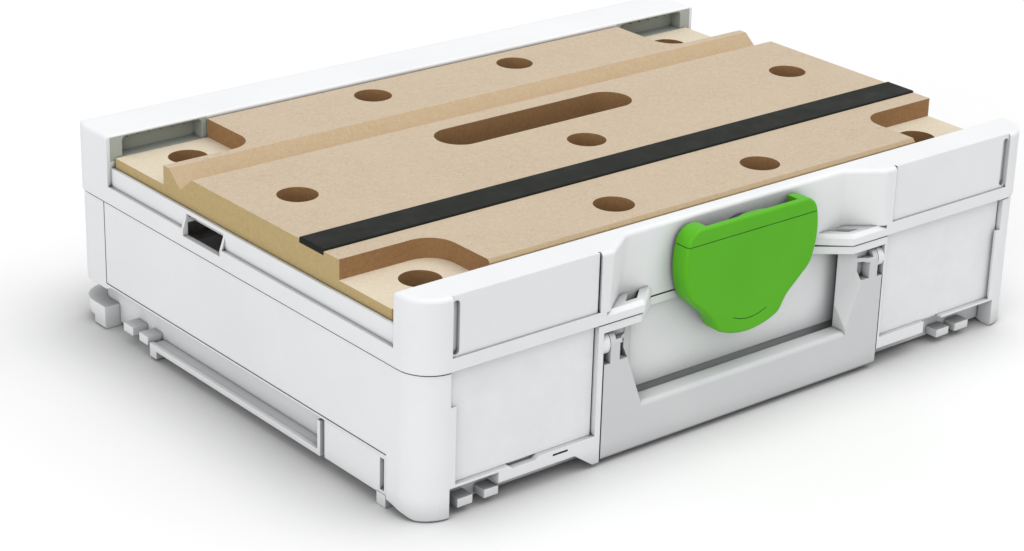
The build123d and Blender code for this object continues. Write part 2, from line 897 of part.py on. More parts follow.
def lid_panels():
    """Square top edges of the blank panels, which the ridge's rounding would otherwise take off."""
    x0 = field_inner_x + lid_slit_width
    depth = ridge_edge_round + 1
    panel = block(x0, field_outer_x - 0.2, lid_field_y, lid_field_y + depth, total_height - depth, total_height)
    return both_sides(panel)


def lid_outer():
    """Solid envelope of the lid with its ridges, rims and recesses."""
    body = slab(half_w, half_d, corner_radius, lid_bottom, total_height) - lid_recess()
    body = fillet_where(
        body,
        boss_edge_round,
        lambda c: c.Y < front_face + 0.5 and abs(abs(c.X) - recess_mouth_half - 1) < 1.5 and c.Z > rim_top,
    )
    body = fillet(body.faces().sort_by(Axis.Z)[-1].edges(), ridge_edge_round)
    for panel in lid_panels():
        body += panel
    body -= block(-half_w - 1, half_w + 1, ridge_front_inner, ridge_rear_inner, rim_top, total_height + 1)
    body -= rear_round_cut()
    body -= inner_round_cut(ridge_front_inner, -1)
    body -= inner_round_cut(ridge_rear_inner, 1)
    band_top = lid_bottom + side_band_height
    setback = block(rim_outer, half_w + 1, ridge_front_inner, ridge_rear_inner, band_top, rim_top + 1)
    for cut in both_sides(setback) + lid_fields():
        body -= cut
    return body


def rear_round_cut():
    """Removes the sharp outer top edge of the rear ridge, leaving a large round."""
    r = ridge_rear_round
    corner = block(-half_w - 1, half_w + 1, half_d - r, half_d + 1, total_height - r, total_height + 1)
    return corner - rod_x(r, -half_w - 2, half_w + 2, half_d - r, total_height - r)


def inner_round_cut(y, toward):
    """Softens the inner top edge of a ridge, which lies on the given side of y."""
    r = ridge_end_round
    y1 = y + toward * r
    corner = block(-half_w - 1, half_w + 1, y - toward, y1, total_height - r, total_height + 1)
    return corner - rod_x(r, -half_w - 2, half_w + 2, y1, total_height - r)


def lid_pocket_for_board():
    """Well that holds the board, open at the top."""
    return block(-rim_inner, rim_inner, ridge_front_inner, ridge_rear_inner, board_bottom, total_height + 1)


def lid_hollow():
    """Space inside the lid: under the deck and up inside the ridges."""
    inner_w = half_w - wall
    under = slab(inner_w, half_d - wall, corner_radius - wall, lid_bottom - 1, deck_bottom)
    front_wall = block(-half_w, half_w, -half_d, field_y + wall, 0, deck_bottom + 1)
    mid_half = recess_half + ridge_hollow_start - 2
    mid_wall = block(-mid_half, mid_half, -half_d, boss_back, 0, deck_bottom + 1)
    rear_rim = block(-half_w, half_w, half_d - hinge_rim, half_d, 0, lid_bottom + hinge_rim_rise)
    hollow = under - front_wall - mid_wall - rear_rim
    front_x0 = recess_half + ridge_hollow_start
    ridge_top = total_height - wall
    low = deck_bottom - 1
    socket_floor = pocket_floor - socket_wall - 2
    socket_x = socket_inner_x - 4
    front_y0 = field_y + wall
    front_y1 = ridge_front_inner - wall
    rear_y0 = ridge_rear_inner + wall
    rear_y1 = half_d - ridge_rear_wall
    front_low = block(front_x0, half_w - wall - 2, front_y0, front_y1, low, socket_floor)
    front_high = block(front_x0, socket_x, front_y0, front_y1, low, ridge_top)
    rear_low = block(socket_x - 1, half_w - wall - 4, rear_y0, rear_y1 - 1, low, socket_floor)
    for piece in both_sides(front_low) + both_sides(front_high) + both_sides(rear_low):
        hollow += piece
    rear_high = block(-socket_x, socket_x, rear_y0, rear_y1, low, ridge_top - ridge_roof_extra)
    return hollow + rear_high


def socket_box(front, grow):
    """Outside block of one corner socket at the right, grown by a seat gap."""
    x0 = socket_inner_x - socket_wall - grow
    x1 = socket_outer_x + socket_wall + grow
    z0 = pocket_floor - socket_wall - grow
    z1 = total_height - socket_skin
    flange_x0 = half_w - socket_flange_inner_inset - grow
    flange_x1 = half_w - socket_flange_outer_inset + grow
    flange = socket_flange_depth + grow
    if front:
        y0 = ridge_front_inner - socket_depth - socket_wall - grow
        body = block(x0, x1, y0, ridge_front_inner, z0, z1)
        return body + block(flange_x0, flange_x1, ridge_front_inner - flange, ridge_front_inner, z0, z1)
    y1 = ridge_rear_inner + socket_depth + socket_wall + grow
    body = block(x0, x1, ridge_rear_inner, y1, z0, z1)
    return body + block(flange_x0, flange_x1, ridge_rear_inner, ridge_rear_inner + flange, z0, z1)


def socket_cavity(mouth, toward):
    """Space inside one corner socket, whose mouth has round upper corners."""
    z0 = pocket_floor
    z1 = min(pocket_floor + socket_height, total_height - socket_skin - socket_roof_gap)
    back = mouth + toward * socket_depth
    screen = back - toward * arch_depth
    front_part = block(socket_inner_x, socket_outer_x, mouth - toward, screen, z0, z1)
    front_part = fillet(front_part.edges().filter_by(Axis.Y).group_by(Axis.Z)[-1], socket_mouth_round)
    cavity = front_part + block(socket_inner_x, socket_outer_x, screen - toward, back, z0, z1 - arch_drop)
    pitch = (socket_outer_x - socket_inner_x) / arches
    radius = (pitch - arch_pier) / 2
    for i in range(arches):
        x = socket_inner_x + (i + 0.5) * pitch
        cavity += rod_y(radius, screen - toward, back, x, z1 - arch_drop)
    return cavity


def corner_socket(front, side):
    """Grey insert open towards the board, with a row of arches in front of its rear wall."""
    mouth = ridge_front_inner if front else ridge_rear_inner
    shell = socket_box(front, 0.0) - socket_cavity(mouth, -1 if front else 1)
    return shell if side > 0 else shell.mirror(Plane.YZ)


def lid_side_slot():
    """Opening in the lid's side wall, right-hand side."""
    z0 = lid_bottom + side_slot_sill
    y0 = side_slot_y - side_slot_length / 2
    y1 = side_slot_y + side_slot_length / 2
    return block(rim_outer - wall - 2, half_w + 1, y0, y1, z0, z0 + side_slot_height)


def lid_gussets():
    """Triangular cheeks at both ends of a side slot, right-hand side."""
    band_top = lid_bottom + side_band_height
    top = lid_bottom + side_slot_sill + side_slot_height
    cheeks = []
    for y in (side_slot_y - side_slot_length / 2, side_slot_y + side_slot_length / 2):
        y0 = y - gusset_thickness if y < side_slot_y else y
        points = [(rim_outer - 0.5, band_top - 0.5), (half_w, band_top - 0.5), (rim_outer - 0.5, top)]
        cheeks.append(front_prism(points, y0, y0 + gusset_thickness))
    return cheeks


def lid_shell():
    body = lid_outer() - lid_pocket_for_board() - lid_hollow()
    rib_bottom = deck_bottom - rib_height
    rib = rib_thickness / 2
    for x in (-rib_x, rib_x):
        body += block(x - rib, x + rib, ridge_front_inner, ridge_rear_inner, rib_bottom, deck_bottom)
    for y in (-rib_y, rib_y):
        body += block(-half_w + wall, half_w - wall, y - rib, y + rib, rib_bottom, deck_bottom)
    for front in (True, False):
        for cut in both_sides(socket_box(front, seat_gap)):
            body -= cut
    for x, y in dog_holes():
        body -= rod_z(dog_radius + 1.5, deck_bottom - 1, board_bottom + 1, x, y)
    for x, y in board_screw_places():
        body -= rod_z(board_screw_radius + 0.3, deck_bottom - 1, board_bottom + 1, x, y)
    slot = extrude(SlotOverall(slot_length + 4, slot_width + 4), deck_thickness + 2)
    body -= Pos(0, slot_y, deck_bottom - 1) * slot
    flange_holes = flange_hole_cut(lid_bottom - 1, lid_bottom + lid_flange_thickness + 1)
    for cut in both_sides(flange_holes) + both_sides(lid_side_slot()):
        body -= cut
    for cheek in lid_gussets():
        for piece in both_sides(cheek):
            body += piece
    body -= rod_y(hub_radius + pivot_gap, recess_y - 1, boss_back + 1, 0, latch_axis_z)
    room = washer_radius + 1.5
    body -= block(-room, room, boss_back, board_front - 0.5, lid_bottom - 1, latch_axis_z + room)
    for cut in hinge_relief("lid"):
        body -= cut
    for barrel in knuckle_solids("lid", hinge_pin_radius + pivot_gap):
        body += barrel
    bore_radius = hinge_pin_radius + pivot_gap
    bore = rod_x(bore_radius, hinge_x - hinge_length, hinge_x + hinge_length, hinge_y, hinge_z)
    for cut in both_sides(bore):
        body -= cut
    return body


# Work board and strip

def corner_pocket(front):
    """Lowered corner of the board at the right, open to its end and its outer edge."""
    r = pocket_radius
    corner_y = pocket_front_y if front else pocket_rear_y
    end_y = board_front - 1 if front else board_rear + 1
    cut = block(pocket_inner_x, board_half + 1, corner_y, end_y, pocket_floor, board_top + 1)
    edges = cut.edges().filter_by(Axis.Z).filter_by(
        lambda e: abs(e.center().X - pocket_inner_x) < 0.1 and abs(e.center().Y - corner_y) < 0.1
    )
    return fillet(edges, r)


def work_board():
    body = block(-board_half, board_half, board_front, board_rear, board_bottom, board_top)
    body = chamfer(body.edges().filter_by(Axis.X).filter_by(
        lambda e: e.center().Z > board_top - 0.1 and e.center().Y < 0
    ), board_chamfer)
    for front in (True, False):
        for cut in both_sides(corner_pocket(front)):
            body -= cut
    g = groove_width / 2
    groove = side_prism(
        [(groove_y - g, board_top), (groove_y, board_top - groove_depth), (groove_y + g, board_top),
         (groove_y + g, board_top + 2), (groove_y - g, board_top + 2)],
        -board_half - 1, board_half + 1,
    )
    body -= groove
    seat_z = board_top - strip_thickness + strip_proud
    strip_y0 = strip_y - strip_width / 2
    strip_y1 = strip_y + strip_width / 2
    body -= block(-board_half - 1, board_half + 1, strip_y0, strip_y1, seat_z, board_top + 1)
    slot = extrude(SlotOverall(slot_length, slot_width), board_thickness + 2)
    body -= Pos(0, slot_y, board_bottom - 1) * slot
    for x, y in dog_holes():
        body -= rod_z(dog_radius, board_bottom - 1, board_top + 1, x, y)
    pilot_top = board_bottom + board_screw_grip + 0.5
    for x, y in board_screw_places():
        body -= rod_z(board_screw_radius + pin_fit, board_bottom - 1, pilot_top, x, y)
    return body


def grip_strip():
    z1 = board_top + strip_proud
    z0 = z1 - strip_thickness
    y0 = strip_y - strip_width / 2
    strip = block(-board_half, board_half, y0, y0 + strip_width, z0, z1)
    edges = strip.edges().filter_by(Axis.X).filter_by(lambda e: e.center().Z > z1 - 0.1)
    return chamfer(edges, 0.5)


def board_screws():
    """Six pan-head screws up through the deck into the board."""
    screws = []
    z_head = deck_bottom - board_washer_thickness
    for x, y in board_screw_places():
        head = rod_z(board_screw_head, z_head - board_screw_head_height, z_head, x, y)
        shank = rod_z(board_screw_radius, z_head - 0.5, board_bottom + board_screw_grip, x, y)
        socket = Pos(x, y, z_head - board_screw_head_height) * Box(3.6, 1.0, 2.4)
        socket += Pos(x, y, z_head - board_screw_head_height) * Box(1.0, 3.6, 2.4)
        screws.append(head + shank - socket)
    return screws


def board_washers():
    washers = []
    for x, y in board_screw_places():
        ring = rod_z(board_washer_radius, deck_bottom - board_washer_thickness, deck_bottom, x, y)
        ring -= rod_z(board_screw_radius + 0.2, deck_bottom - 3, deck_bottom + 1, x, y)
        washers.append(ring)
    return washers


# Latch

def latch_outline(shrink):
    """Front outline of the latch: a wide head inside a circle and a rounded tongue below."""
    r = latch_radius
    face = Circle(r) & Pos(0, (latch_top - 2 * r) / 2) * Rectangle(2 * r + 2, latch_top + 2 * r)
    shoulder_x = math.sqrt(r * r - latch_shoulder_drop ** 2)
    tongue_z = -math.sqrt(r * r - latch_tongue_half ** 2)
    bite = make_face(Polyline(
        (shoulder_x, -latch_shoulder_drop),
        (latch_neck_half, -latch_neck_drop),
        (latch_tongue_half, tongue_z),
        (latch_tongue_half, -r - 3),
        (r + 3, -r - 3),
        (r + 3, -latch_shoulder_drop),
        close=True,
    ))
    face -= bite
    face -= bite.mirror(Plane.YZ)
    rounds = (
        (latch_corner_round, latch_top),
        (latch_shoulder_round, -latch_shoulder_drop),
        (latch_neck_round, -latch_neck_drop),
        (latch_tongue_round, tongue_z),
    )
    for radius, z in rounds:
        face = fillet(face.vertices().filter_by(lambda v: abs(v.Y - z) < 0.05), radius)
    return offset(face, -shrink) if shrink else face


def latch_prism(shrink, y0, y1):
    """Latch outline swept from y0 back to y1."""
    solid = extrude(latch_outline(shrink), y1 - y0)
    return Pos(0, y1, latch_axis_z) * Rot(90, 0, 0) * solid


def latch_body(shrink, y0, y1, radius):
    """Latch prism with its front edge rounded."""
    body = latch_prism(shrink, y0, y1)
    return fillet(body.edges().filter_by(lambda e: abs(e.center().Y - y0) < 0.05), radius)


def latch_creases():
    """Fine parting line below the top band and the short curved groove on the tongue."""
    z0 = latch_crease_z
    half = latch_radius + 1
    depth = latch_crease
    core = latch_body(depth, latch_front + depth, latch_back + 1, latch_edge_round - depth)
    line = block(-half, half, latch_front - 1, latch_back + 1, z0, z0 + depth) - core
    ring = Circle(latch_groove_radius + depth) - Circle(latch_groove_radius)
    window = Pos(0, -latch_groove_radius) * Rectangle(2 * latch_groove_half, latch_groove_radius)
    centre_z = latch_groove_z + latch_groove_radius
    arc = Pos(0, latch_front + depth, centre_z) * Rot(90, 0, 0) * extrude(ring & window, 2)
    return line + arc


def latch_cover():
    body = latch_body(0, latch_front, latch_back, latch_edge_round)
    inside = latch_prism(latch_skin, latch_front + latch_skin, latch_back + 1)
    top = latch_axis_z + latch_top
    floor = top - latch_slot_depth
    skin_y = latch_front + latch_skin
    cheek = block(latch_slot_half, latch_slot_half + latch_skin, skin_y - 0.5, latch_back, floor, top)
    for keep in both_sides(cheek):
        inside -= keep
    body -= inside
    body -= block(-latch_slot_half, latch_slot_half, skin_y, latch_back + 1, floor, top + 1)
    bump_points = [
        (-latch_bump_half, skin_y - 0.5),
        (-latch_bump_half, skin_y),
        (-latch_bump_flat, skin_y + latch_bump),
        (latch_bump_flat, skin_y + latch_bump),
        (latch_bump_half, skin_y),
        (latch_bump_half, skin_y - 0.5),
    ]
    body += plan_prism(bump_points, floor + 1, top)
    boss_back_y = latch_back - latch_plate - 0.2
    body += rod_y(hub_key * 0.95, skin_y - 0.5, boss_back_y, 0, latch_axis_z)
    key = hub_key / 2 + seat_gap
    body -= block(-key, key, skin_y + 1, latch_back + 1, latch_axis_z - key, latch_axis_z + key)
    return body - latch_creases()


def latch_back_plate():
    """Grey plate that closes the latch from behind, with a shelf under the finger slot."""
    body = latch_prism(latch_skin + 0.15, latch_back - latch_plate, latch_back)
    key = hub_key / 2 + seat_gap
    body -= block(-key, key, latch_back - 5, latch_back + 1, latch_axis_z - key, latch_axis_z + key)
    shelf_top = latch_axis_z + latch_top - latch_slot_depth - 0.2
    body -= block(-latch_radius, latch_radius, latch_front, latch_back + 1, shelf_top, total_height)
    shelf_y = latch_front + latch_skin + 0.2
    half = latch_slot_half - 1
    return body + block(-half, half, shelf_y, latch_back, shelf_top - latch_shelf, shelf_top)


def latch_hub():
    flange_y0 = latch_back
    flange_y1 = latch_back + hub_flange
    end = boss_back + body_gap
    body = rod_y(hub_flange_radius, flange_y0, flange_y1, 0, latch_axis_z)
    body += rod_y(hub_radius, flange_y0, end, 0, latch_axis_z)
    key = hub_key / 2
    body += block(-key, key, latch_front + latch_skin + 1.2, flange_y0 + 0.5, latch_axis_z - key, latch_axis_z + key)
    body -= rod_y(screw_radius + seat_gap, latch_front + latch_skin + 3, end + 1, 0, latch_axis_z)
    return body


def latch_spring_washer():
    y0 = latch_back + hub_flange
    ring = rod_y(hub_flange_radius - 0.5, y0, y0 + spring_washer_thickness, 0, latch_axis_z)
    return ring - rod_y(hub_radius + 0.2, y0 - 1, y0 + 3, 0, latch_axis_z)


def latch_washer():
    y0 = boss_back + body_gap
    ring = rod_y(washer_radius, y0, y0 + washer_thickness, 0, latch_axis_z)
    return ring - rod_y(screw_radius + 0.2, y0 - 1, y0 + 3, 0, latch_axis_z)


def latch_screw():
    seat = boss_back + body_gap + washer_thickness
    head = rod_y(screw_head_radius, seat, seat + screw_head_height, 0, latch_axis_z)
    shank = rod_y(screw_radius, latch_front + latch_skin + 3.5, seat + 0.5, 0, latch_axis_z)
    hexagon = extrude(RegularPolygon(2.2, 6), 2.0)
    socket = Pos(0, seat + screw_head_height + 0.1, latch_axis_z) * Rot(90, 0, 0) * hexagon
    return head + shank - socket


def write(name, shape):
    """Save one node, from one solid or a list of identical ones."""
    if isinstance(shape, list):
        shape = Compound(children=shape)
    export_step(shape, os.path.join("parts", name + ".step"))


def main():
    os.makedirs("parts", exist_ok=True)
    write("base_shell", base_shell())
    write("lid_shell", lid_shell())
    write("work_board", work_board())
    write("grip_strip", grip_strip())
    write("board_screws", board_screws())
    write("board_washers", board_washers())
    write("front_handle", front_handle())
    write("latch_cover", latch_cover())
    write("latch_back_plate", latch_back_plate())
    write("latch_hub", latch_hub())
    write("latch_spring_washer", latch_spring_washer())
    write("latch_washer", latch_washer())
    write("latch_screw", latch_screw())
    for name, side in (("left", -1), ("right", 1)):
        write("label_card_" + name, label_card(side))
        write("hinge_pin_" + name, hinge_pin(side))
        write("handle_pin_" + name, handle_pin(side))
        write("socket_front_" + name, corner_socket(True, side))
        write("socket_rear_" + name, corner_socket(False, side))


main()
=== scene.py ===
"""Stackable tool case with a bench-top lid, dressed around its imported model.

Every length is in metres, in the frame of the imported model: +X to the right seen from the
latch side, +Y to the hinge side, +Z up, with the origin on the ground under the case.
"""

import json
import logging
import math
from dataclasses import dataclass, field
from enum import Enum

import bpy
from mathutils import Matrix, Vector

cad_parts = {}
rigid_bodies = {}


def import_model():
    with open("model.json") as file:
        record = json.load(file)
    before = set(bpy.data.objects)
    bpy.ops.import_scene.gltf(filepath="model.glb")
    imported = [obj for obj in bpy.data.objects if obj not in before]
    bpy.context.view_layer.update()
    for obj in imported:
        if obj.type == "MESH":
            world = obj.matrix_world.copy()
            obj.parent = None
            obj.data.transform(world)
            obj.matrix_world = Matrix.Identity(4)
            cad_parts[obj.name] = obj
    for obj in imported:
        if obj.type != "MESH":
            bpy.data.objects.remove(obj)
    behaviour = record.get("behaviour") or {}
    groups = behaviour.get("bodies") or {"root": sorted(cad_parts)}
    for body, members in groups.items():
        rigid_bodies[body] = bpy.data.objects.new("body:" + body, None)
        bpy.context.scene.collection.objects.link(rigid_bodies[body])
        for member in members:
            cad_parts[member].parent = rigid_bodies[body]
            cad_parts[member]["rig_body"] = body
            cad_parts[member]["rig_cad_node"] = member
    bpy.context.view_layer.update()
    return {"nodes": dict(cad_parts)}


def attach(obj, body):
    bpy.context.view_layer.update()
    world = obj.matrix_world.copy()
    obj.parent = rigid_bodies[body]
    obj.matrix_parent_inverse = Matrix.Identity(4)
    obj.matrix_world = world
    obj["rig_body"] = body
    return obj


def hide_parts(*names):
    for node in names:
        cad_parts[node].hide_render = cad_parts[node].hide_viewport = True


LOG = logging.getLogger("tool_case")

Colour = tuple[float, float, float]
Point = tuple[float, float, float]
Span = tuple[float, float]
Socket = bpy.types.NodeSocket

MM = 0.001
MIDDLE = (0.3, 0.7)
SHARE = (0.0, 1.0)
EDGE_SAMPLES = 6
GAP_SAMPLES = 8


def srgb(red: int, green: int, blue: int) -> Colour:
    """Turn an 8-bit display colour into scene linear values.

    Args:
        red: Red from 0 to 255.
        green: Green from 0 to 255.
        blue: Blue from 0 to 255.

    Returns:
        The linear red, green and blue.
    """

    def linear(value: int) -> float:
        """Linear value of one display channel."""
        part = value / 255
        return part / 12.92 if part <= 0.04045 else ((part + 0.055) / 1.055) ** 2.4

    return linear(red), linear(green), linear(blue)


def scaled(colour: Colour, share: float) -> Colour:
    """A colour with all its parts multiplied by a share."""
    return tuple(share * part for part in colour)


class Body(Enum):
    """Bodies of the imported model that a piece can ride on."""

    BASE = "base"
    LID = "lid"
    LATCH = "latch"
    HANDLE = "handle"


class Slot(Enum):
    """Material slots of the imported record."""

    WHITE_PLASTIC = "white_plastic"
    BOARD = "mdf"
    STRIP = "strip_rubber"
    SOCKET = "socket_grey"
    LATCH_GREY = "latch_grey"


class Graph:
    """Node tree of one material, with short ways to add and join nodes."""

    def __init__(self, name: str) -> None:
        """Start a material that holds one surface shader.

        Args:
            name: Name of the material.
        """
        self.material = bpy.data.materials.new(name)
        self.material.use_nodes = True
        self.tree = self.material.node_tree
        self.tree.nodes.clear()
        output = self.add("ShaderNodeOutputMaterial")
        self.shader = self.add("ShaderNodeBsdfPrincipled")
        self.feed(output.inputs["Surface"], self.shader.outputs["BSDF"])
        self.place = self.add("ShaderNodeTexCoord")

    def add(self, kind: str) -> bpy.types.Node:
        """A new node of a kind."""
        return self.tree.nodes.new(kind)

    def feed(self, target: Socket, value: Socket | Colour | float) -> None:
        """Give an input an output to follow, a colour or a number.

        Args:
            target: The input.
            value: What it gets.
        """
        if isinstance(value, Socket):
            self.tree.links.new(value, target)
        elif isinstance(value, tuple):
            target.default_value = (*value, 1.0)
        else:
            target.default_value = value

    def surface(self, name: str, value: Socket | Colour | float) -> None:
        """Set an input of the surface shader by its name."""
        self.feed(self.shader.inputs[name], value)

    def noise(
        self,
        scale: float,
        detail: float = 2.0,
        roughness: float = 0.5,
        stretch: Point | None = None,
        distortion: float = 0.0,
    ) -> Socket:
        """Noise on object coordinates.

        Args:
            scale: Number of features per metre.
            detail: Octaves of finer noise.
            roughness: Weight of the finer octaves.
            stretch: Scale of the pattern on each axis, or None for an even one.
            distortion: How far the pattern is bent.

        Returns:
            The noise, from 0 to 1.
        """
        node = self.add("ShaderNodeTexNoise")
        node.inputs["Scale"].default_value = scale
        node.inputs["Detail"].default_value = detail
        node.inputs["Roughness"].default_value = roughness
        node.inputs["Distortion"].default_value = distortion
        where = self.place.outputs["Object"]
        if stretch is not None:
            mapping = self.add("ShaderNodeMapping")
            mapping.inputs["Scale"].default_value = stretch
            self.feed(mapping.inputs["Vector"], where)
            where = mapping.outputs["Vector"]
        self.feed(node.inputs["Vector"], where)
        return node.outputs["Fac"]

    def remap(self, source: Socket, span: Span, result: Span = SHARE) -> Socket:
        """Stretch one range of a value to another and keep it inside.

        Args:
            source: The value.
            span: Its values at the two ends.
            result: What they become.

        Returns:
            The new value.
        """
        node = self.add("ShaderNodeMapRange")
        node.inputs["From Min"].default_value, node.inputs["From Max"].default_value = span
        node.inputs["To Min"].default_value, node.inputs["To Max"].default_value = result
        self.feed(node.inputs["Value"], source)
        return node.outputs["Result"]

    def blend(self, factor: Socket, first: Socket | Colour, second: Socket | Colour) -> Socket:
        """Mix two colours.

        Args:
            factor: Share of the second colour.
            first: Colour where the factor is 0.
            second: Colour where the factor is 1.

        Returns:
            The mixed colour.
        """
        node = self.add("ShaderNodeMix")
        node.data_type = "RGBA"
        share, first_input, second_input = (node.inputs[place] for place in (0, 6, 7))
        self.feed(share, factor)
        self.feed(first_input, first)
        self.feed(second_input, second)
        return node.outputs[2]

    def math(self, operation: str, first: Socket | float, second: Socket | float = 0.0) -> Socket:
        """Do arithmetic on two values.

        Args:
            operation: Name of the operation.
            first: First value.
            second: Second value, where the operation has one.

        Returns:
            The result.
        """
        node = self.add("ShaderNodeMath")
        node.operation = operation
        self.feed(node.inputs[0], first)
        self.feed(node.inputs[1], second)
        return node.outputs["Value"]

    def axis(self, output: str, letter: str) -> Socket:
        """Take one part of a coordinate or direction.

        Args:
            output: Name of the coordinate node's output.
            letter: X, Y or Z.

        Returns:
            The part.
        """
        node = self.add("ShaderNodeSeparateXYZ")
        self.feed(node.inputs["Vector"], self.place.outputs[output])
        return node.outputs[letter]

    def round_edges(self, radius: float) -> Socket:
        """Make a normal that softens the edges.

        Args:
            radius: Radius over which it softens them.

        Returns:
            The normal.
        """
        node = self.add("ShaderNodeBevel")
        node.samples = EDGE_SAMPLES
        node.inputs["Radius"].default_value = radius
        return node.outputs["Normal"]

    def edge_mask(self, soft: Socket, turn: Span) -> Socket:
        """Mask that is 1 along the edges where the softened normal turns away from the face.

        Args:
            soft: Normal made by round_edges.
            turn: Turn at which the mask starts and at which it is full, as 1 minus the cosine.

        Returns:
            The mask.
        """
        geometry = self.add("ShaderNodeNewGeometry")
        dot = self.add("ShaderNodeVectorMath")
        dot.operation = "DOT_PRODUCT"
        self.feed(dot.inputs[0], soft)
        self.feed(dot.inputs[1], geometry.outputs["Normal"])
        start, full = turn
        return self.remap(dot.outputs["Value"], (1.0 - start, 1.0 - full))

    def gap_mask(self, reach: float, levels: Span) -> Socket:
        """Mask that is 1 where the surroundings close in on a point and 0 where they are open.

        Args:
            reach: How far off surroundings still count.
            levels: Share of open directions at which the mask is 1, and at which it ends.

        Returns:
            The mask.
        """
        node = self.add("ShaderNodeAmbientOcclusion")
        node.samples = GAP_SAMPLES
        node.inputs["Distance"].default_value = reach
        return self.remap(node.outputs["AO"], levels, (1.0, 0.0))

    def relief(self, height: Socket, depth: float, base: Socket | None = None) -> Socket:
        """Make a normal from a relief.

        Args:
            height: Height of the relief, from 0 to 1.
            depth: Depth of its full range.
            base: Normal that it lies on, or None for the face's own.

        Returns:
            The normal.
        """
        node = self.add("ShaderNodeBump")
        node.inputs["Strength"].default_value = 1.0
        node.inputs["Distance"].default_value = depth
        self.feed(node.inputs["Height"], height)
        if base is not None:
            self.feed(node.inputs["Normal"], base)
        return node.outputs["Normal"]


@dataclass(frozen=True)
class MouldedPlastic:
    """Spark-grained injection-moulded plastic with softened and rubbed edges, and painted shade in
    its gaps, steps and holes.

    Attributes:
        name: Name of the material.
        colour: Colour of the plastic.
        shade: Slightly deeper tone of the same plastic, for its cloudy variation.
        rubbed: Tone along edges that hands and benches rub.
        roughness: Gloss of the grained face, from 0 to 1.
        specular: Reflection at normal view.
        grain: Grain features per metre.
        depth: Height of the grain.
        edge: Radius of the softened edges.
        cloud: Clouds of the deeper tone per metre.
        gloss_swing: Change of the roughness between the clouds.
        worn_turn: Turn of the softened normal at which rubbing starts and at which it is full.
        worn_patch: Patches of rubbing per metre.
        worn_levels: Levels of their noise from the weakest patch to the strongest.
        worn_share: Weight of the rubbing in its weakest and its strongest patch.
        polish: How much smoother a fully rubbed edge is.
        gap: Reach of the painted shade in narrow gaps.
        gap_levels: Share of open directions at which a gap is full dark, and at which it ends.
        gap_tone: Share of the colour that is left in the painted shade down in a narrow gap.
        hollow: Reach of the softer shade in steps and recesses.
        hollow_levels: The same two shares for the steps.
        inside_levels: The same two shares for deep holes, whichever way their faces look.
        hollow_tone: Share of the colour that is left in the painted shade of the deepest step.
        hollow_tilt: Upward part of the normal from an upright face to one that looks up.
        hollow_weight: Weight of the steps' shade on upright faces, and on faces that look up.
    """

    name: str
    colour: Colour
    shade: Colour
    rubbed: Colour
    roughness: float = 0.5
    specular: float = 0.4
    grain: float = 1500.0
    depth: float = 0.04 * MM
    edge: float = 0.6 * MM
    cloud: float = 14.0
    gloss_swing: Span = (-0.05, 0.06)
    worn_turn: Span = (0.02, 0.25)
    worn_patch: float = 160.0
    worn_levels: Span = (0.4, 0.65)
    worn_share: Span = (0.15, 0.8)
    polish: float = 0.12
    gap: float = 2.6 * MM
    gap_levels: Span = (0.34, 0.68)
    gap_tone: float = 0.06
    hollow: float = 16.0 * MM
    hollow_levels: Span = (0.3, 0.9)
    inside_levels: Span = (0.15, 0.42)
    hollow_tone: float = 0.25
    hollow_tilt: Span = (0.1, 0.9)
    hollow_weight: Span = (0.62, 0.9)

    def make(self) -> bpy.types.Material:
        """Build the material.

        Returns:
            The new material.
        """
        graph = Graph(self.name)
        graph.surface("Specular IOR Level", self.specular)
        soft = graph.round_edges(self.edge)
        cloud = graph.noise(self.cloud, detail=4.0, roughness=0.6)
        rub = self.rubbing(graph, soft)
        body = graph.blend(graph.remap(cloud, MIDDLE), self.colour, self.shade)
        graph.surface("Base Color", self.darken(graph, graph.blend(rub, body, self.rubbed)))

        least, most = self.gloss_swing
        gloss = graph.remap(cloud, MIDDLE, (self.roughness + least, self.roughness + most))
        polished = graph.math("MULTIPLY", rub, self.polish)
        graph.surface("Roughness", graph.math("SUBTRACT", gloss, polished))
        grain = graph.noise(self.grain, detail=2.5, roughness=0.6)
        graph.surface("Normal", graph.relief(grain, self.depth, soft))
        return graph.material

    def rubbing(self, graph: Graph, soft: Socket) -> Socket:
        """Find the rubbed edges.

        Args:
            graph: The material's nodes.
            soft: Softened normal.

        Returns:
            Mask of the rubbed edges, patchy along their length.
        """
        patch = graph.noise(self.worn_patch, detail=3.0)
        weight = graph.remap(patch, self.worn_levels, self.worn_share)
        return graph.math("MULTIPLY", graph.edge_mask(soft, self.worn_turn), weight)

    def darken(self, graph: Graph, colour: Socket) -> Socket:
        """Paint shade into a colour in steps, holes and gaps.

        Args:
            graph: The material's nodes.
            colour: Colour of the open faces.

        Returns:
            The shaded colour.
        """
        # Painted shade: the colour is darkened where steps, recesses, deep holes and narrow gaps lie
        # in shade, most on faces that look up.
        upward = graph.math("MAXIMUM", graph.axis("Normal", "Z"), 0.0)
        weight = graph.remap(upward, self.hollow_tilt, self.hollow_weight)
        step = graph.math("MULTIPLY", graph.gap_mask(self.hollow, self.hollow_levels), weight)
        total = graph.math("MAXIMUM", step, graph.gap_mask(self.hollow, self.inside_levels))
        shaded = graph.blend(total, colour, scaled(self.colour, self.hollow_tone))
        gap = graph.gap_mask(self.gap, self.gap_levels)
        return graph.blend(gap, shaded, scaled(self.colour, self.gap_tone))


